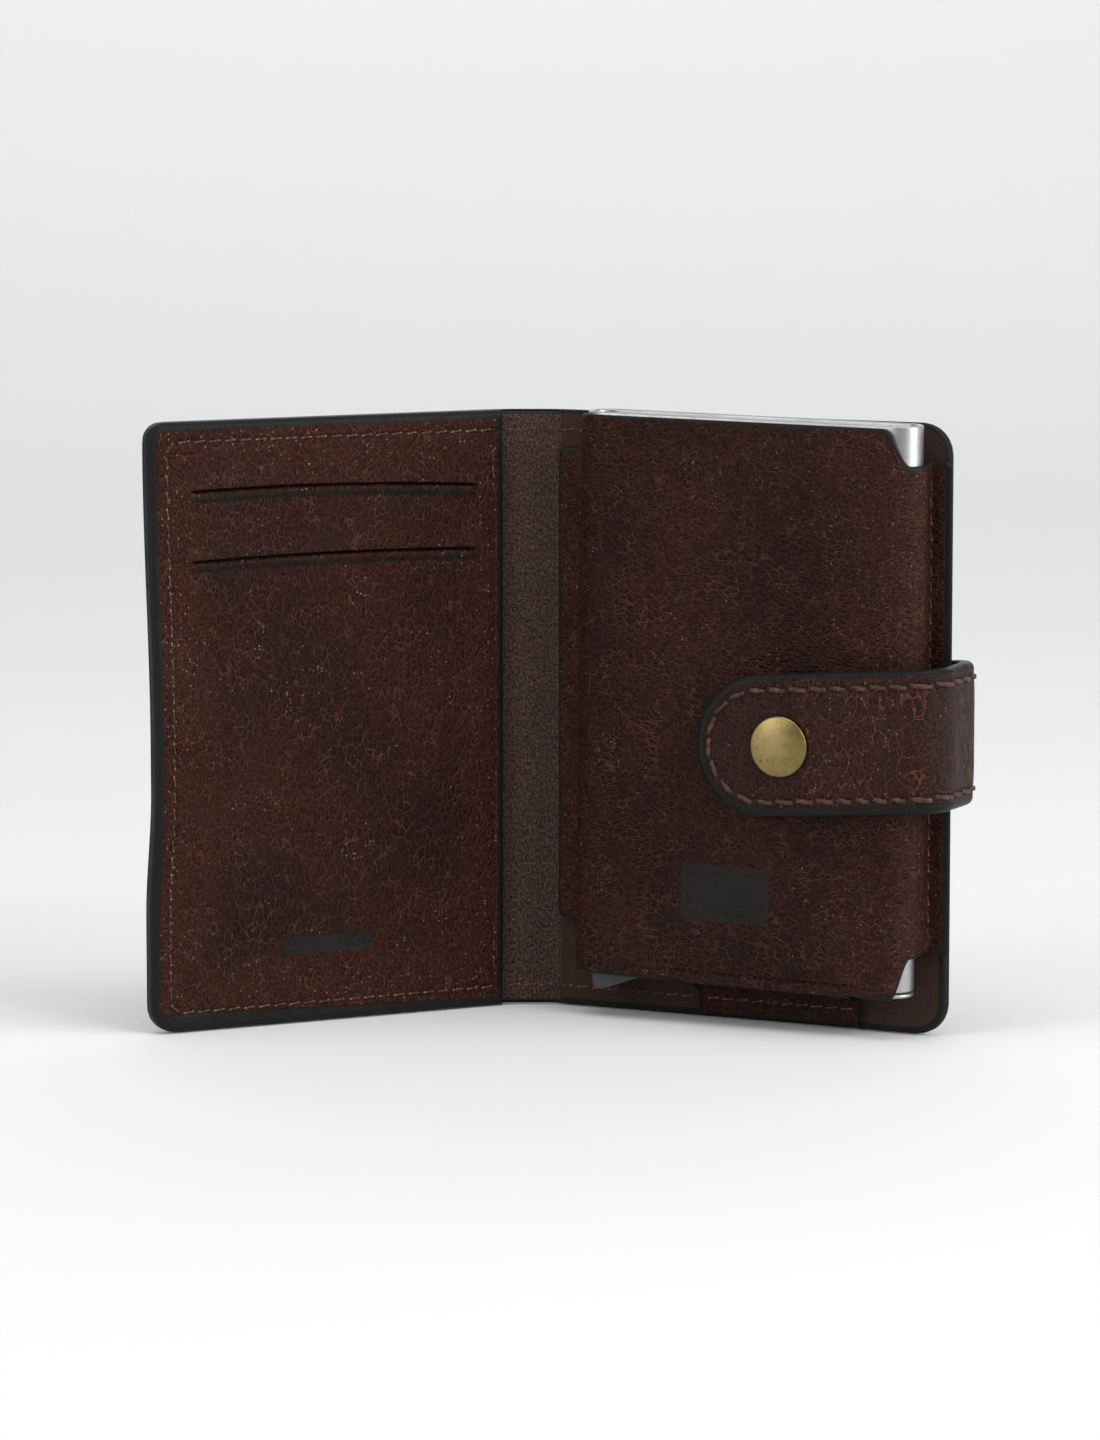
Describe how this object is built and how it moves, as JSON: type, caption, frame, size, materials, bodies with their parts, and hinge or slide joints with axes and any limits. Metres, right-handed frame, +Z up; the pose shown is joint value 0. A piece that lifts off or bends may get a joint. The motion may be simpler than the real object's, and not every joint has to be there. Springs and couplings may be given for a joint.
{
  "type": "bifold wallet",
  "caption": "Leather bifold wallet standing open: slit card pockets on one leaf, a metal card case with an ejector lever on the other, and a snap strap.",
  "frame": {"origin": "middle of the bounding box on the surface that the open wallet stands on", "axes": "+Z up along the fold lines; +X along the case leaf from its fold to its free edge; the card side of the case leaf faces -Y"},
  "size_m": [0.1316, 0.0626, 0.1053],
  "materials": {
    "outer_leather": "dark brown aged leather, matt, with black painted edges",
    "panel_leather": "dark brown aged leather with fine reddish cracks and a pebbled upper part",
    "wrap_leather": "dark brown aged leather with fine wavy creases",
    "strap_leather": "dark brown leather with a vein-like crackle and a black painted edge",
    "suede": "brown suede, short nap",
    "board": "bonded fibre stiffener",
    "twill": "brown twill lining with a fine diagonal rib",
    "case_metal": "matt anodised",
    "grip_felt": "black felt",
    "pin_steel": "plain",
    "lever_plastic": "moulded, dark grey",
    "snap_brass": "antique brass, satin"
  },
  "bodies": {
    "case_leaf": {"outer_cover_right": "outer_leather", "stiffener_right": "board", "lining_right": "twill", "case_wrap": "wrap_leather", "case_body": "case_metal", "case_bottom_cap": "case_metal", "grip_pad_front": "grip_felt", "grip_pad_back": "grip_felt", "lever_pin": "pin_steel", "strap_base_outer": "strap_leather", "strap_base_inner": "suede"},
    "spine": {"spine_cover": "outer_leather", "spine_lining": "suede"},
    "cover_leaf": {"outer_cover_left": "outer_leather", "stiffener_left": "board", "lining_left": "twill", "upper_pocket": "twill", "lower_pocket": "twill", "pocket_panel": "panel_leather", "snap_stud": "snap_brass", "snap_post": "snap_brass"},
    "strap_bridge": {"strap_bridge_outer": "strap_leather", "strap_bridge_inner": "suede"},
    "strap_tongue": {"strap_tongue_outer": "strap_leather", "strap_tongue_inner": "suede", "snap_cap": "snap_brass", "snap_socket": "snap_brass"},
    "ejector": {"ejector_lever": "lever_plastic", "card_lifter": "lever_plastic"}
  },
  "joints": [
    {"name": "spine_fold", "type": "hinge", "parent": "case_leaf", "child": "spine", "pos_m": [-0.01452, 0.0266, 0], "axis": [0, 0, 1], "range_deg": [-25.6, 64]},
    {"name": "cover_fold", "type": "hinge", "parent": "spine", "child": "cover_leaf", "pos_m": [-0.02291, 0.02258, 0], "axis": [0, 0, 1], "range_deg": [-26.8, 52]},
    {"name": "strap_back_bend", "type": "hinge", "parent": "case_leaf", "child": "strap_bridge", "pos_m": [0.06378, 0.0302, 0.0526], "axis": [-0.0767, 0, 0.9971], "range_deg": [0, 90]},
    {"name": "strap_front_bend", "type": "hinge", "parent": "strap_bridge", "child": "strap_tongue", "pos_m": [0.06378, 0.0138, 0.0526], "axis": [-0.0767, 0, 0.9971], "range_deg": [0, 90]},
    {"name": "lever_swing", "type": "hinge", "parent": "case_leaf", "child": "ejector", "pos_m": [0.04848, 0.0266, 0.0116], "axis": [0, 1, 0], "range_deg": [0, 17]}
  ]
}
